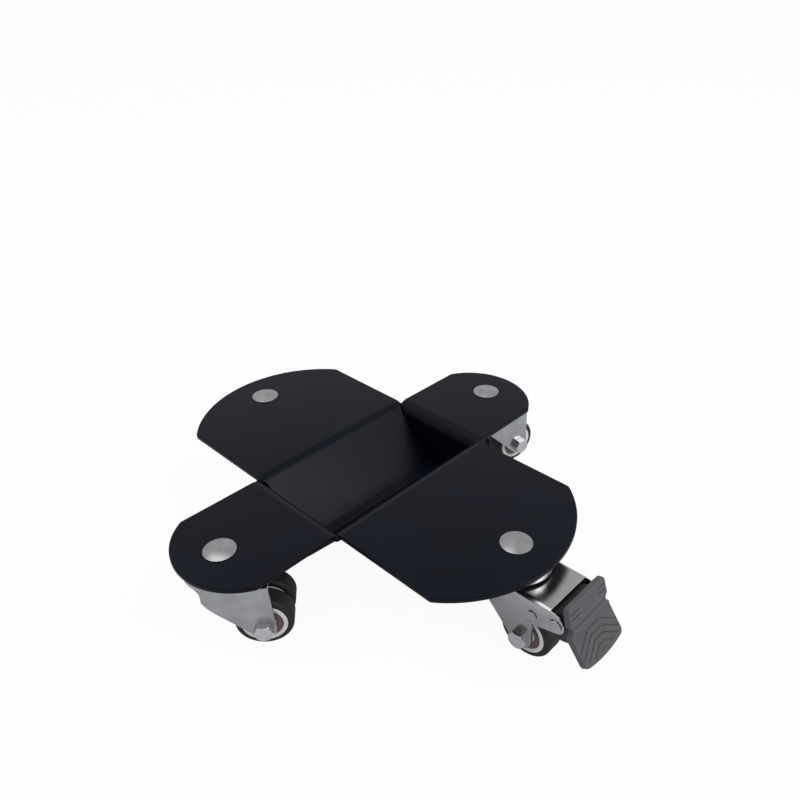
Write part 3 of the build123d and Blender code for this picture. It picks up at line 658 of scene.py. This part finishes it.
wheel_pieces = (("tyre", turned(tyre_section), tyre_rubber, "tyre_rubber"),
                ("rim", turned(rim_section), rim_plastic, "rim_plastic"),
                ("hub_cover", turned(cover_section), cover_plastic, "cover_plastic"))
for name in casters:
    middles = {letter: sum(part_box(f"tyre_{name}_{letter}"), Vector()) / 2 for letter in "ab"}
    outwards = (middles["a"] - middles["b"]).normalized()
    for letter, facing in (("a", outwards), ("b", -outwards)):
        for node, mesh, finish, slot in wheel_pieces:
            piece = fitted(f"{node}_{name}_{letter}_turned", mesh, [(middles[letter], facing)], finish)
            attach(piece, f"wheel_{name}_{letter}")
            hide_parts(f"{node}_{name}_{letter}")

# Brake: a moulded plastic pedal pad on a pressed steel lever, hung on a pin between the fork ears. A
# second pin below the crown stops the lever. The lever is coloured near black, which also paints the
# shade in the gap between the fork crown and the pad.
pad_edge_round = 0.15 * mm
lever_edge_round = 0.3 * mm
pin_edge_round = 0.25 * mm
pedal_plastic = coating("pedal_plastic", dark=(0.074, 0.072, 0.071), light=(0.093, 0.0905, 0.0895),
                        rough=(0.46, 0.6), grain=(0.35 * mm, 0.012 * mm), cloud=9 * mm, specular=0.25)
# Near black: the lever's own dark colour, and also the painted shade in the gap between crown and pad.
lever_steel = coating("lever_steel", dark=(0.012, 0.012, 0.013), light=(0.02, 0.02, 0.021),
                      rough=(0.4, 0.52), grain=(0.6 * mm, 0.006 * mm), cloud=10 * mm, specular=0.3)
dressed("pedal_pad_moulded", "pedal_pad", pedal_plastic, pad_edge_round)
dressed("brake_lever_pressed", "brake_lever", lever_steel, lever_edge_round)
for node in ("pedal_pin", "stop_pin"):
    dressed(f"{node}_headed", node, zinc_plate, pin_edge_round)

# Studio: white floor and backdrop, one large soft light from the front and a weaker one from above. The
# camera sees nearly all of the white, so that a faint shadow stays, and metal sees a share of it.
studio_half = 30.0                   # half the side of the floor
floor_level = cad_box[0].z
floor_mesh = bpy.data.meshes.new("floor")
floor_corners = [(side * studio_half, way * studio_half, floor_level)
                 for side, way in ((-1, -1), (1, -1), (1, 1), (-1, 1))]
floor_mesh.from_pydata(floor_corners, [], [(0, 1, 2, 3)])
floor = bpy.data.objects.new("floor", floor_mesh)
bpy.context.scene.collection.objects.link(floor)


def seen_directly(tree, to_camera, in_metal):
    """Share of white that a background shows to the camera, and to gloss and through glass."""
    path = tree.nodes.new("ShaderNodeLightPath")
    share = None
    for ray, whiteness in (("Is Camera Ray", to_camera), ("Is Glossy Ray", in_metal),
                           ("Is Transmission Ray", in_metal)):
        strength = tree.nodes.new("ShaderNodeMath")
        strength.operation = "MULTIPLY_ADD"
        strength.inputs[1].default_value = whiteness
        strength.inputs[2].default_value = 0
        tree.links.new(path.outputs[ray], strength.inputs[0])
        if share:
            tree.links.new(share, strength.inputs[2])
        share = strength.outputs[0]
    return share


floor_white = bpy.data.materials.new("floor_white")
floor_white.use_nodes = True
tree = floor_white.node_tree
paper = tree.nodes["Principled BSDF"]
paper.inputs["Base Color"].default_value = (0.8, 0.8, 0.8, 1)
paper.inputs["Roughness"].default_value = 0.9
paper.inputs["Specular IOR Level"].default_value = 0
glow = tree.nodes.new("ShaderNodeEmission")
backdrop = tree.nodes.new("ShaderNodeMixShader")
tree.links.new(seen_directly(tree, to_camera=0.95, in_metal=0.25), backdrop.inputs["Fac"])
tree.links.new(paper.outputs[0], backdrop.inputs[1])
tree.links.new(glow.outputs[0], backdrop.inputs[2])
tree.links.new(backdrop.outputs[0], tree.nodes["Material Output"].inputs["Surface"])
floor_mesh.materials.append(floor_white)

world = bpy.data.worlds.new("studio")
bpy.context.scene.world = world
world.use_nodes = True
tree = world.node_tree
room = tree.nodes["Background"]
room.inputs["Color"].default_value = (0.58, 0.62, 0.72, 1)
white = tree.nodes.new("ShaderNodeBackground")
white.inputs["Color"].default_value = (1, 1, 1, 1)
choice = tree.nodes.new("ShaderNodeMixShader")
tree.links.new(seen_directly(tree, to_camera=1.0, in_metal=0.65), choice.inputs["Fac"])
tree.links.new(room.outputs[0], choice.inputs[1])
tree.links.new(white.outputs[0], choice.inputs[2])
tree.links.new(choice.outputs[0], tree.nodes["World Output"].inputs["Surface"])

for name, spot, width, power in (("front_softbox", (0.7, -1.5, 1.45), 0.9, 20.0),
                                 ("top_softbox", (-0.3, 0.5, 1.9), 1.2, 8.0)):
    light = bpy.data.lights.new(name, "AREA")
    light.size = width
    light.energy = power
    lamp = bpy.data.objects.new(name, light)
    lamp.location = spot
    lamp.rotation_euler = (-Vector(spot)).to_track_quat("-Z", "Y").to_euler()
    bpy.context.scene.collection.objects.link(lamp)
bpy.context.scene.view_settings.view_transform = "Standard"

# Camera: at the photograph's viewpoint, with its off-centre framing. The azimuth counts from the front,
# and the roll is a slight tilt of the camera.
camera_spot = (-0.2972, -0.3358, 0.3686)
azimuth, elevation, roll = radians(-46.3), radians(33.52), radians(-0.49)
back = Vector((sin(azimuth) * cos(elevation), -cos(azimuth) * cos(elevation), sin(elevation)))
level = (-back).cross(Vector((0, 0, 1))).normalized()
upright = level.cross(-back)
right = cos(roll) * level + sin(roll) * upright
up = cos(roll) * upright - sin(roll) * level
lens = bpy.data.cameras.new("camera")
lens.sensor_width = 36
lens.lens = 32.36
lens.shift_x = -0.0265
lens.shift_y = 0.0317
lens.clip_start = 0.01
camera = bpy.data.objects.new("camera", lens)
camera.matrix_world = Matrix.Translation(camera_spot) @ Matrix((right, up, back)).transposed().to_4x4()
bpy.context.scene.collection.objects.link(camera)
bpy.context.scene.camera = camera
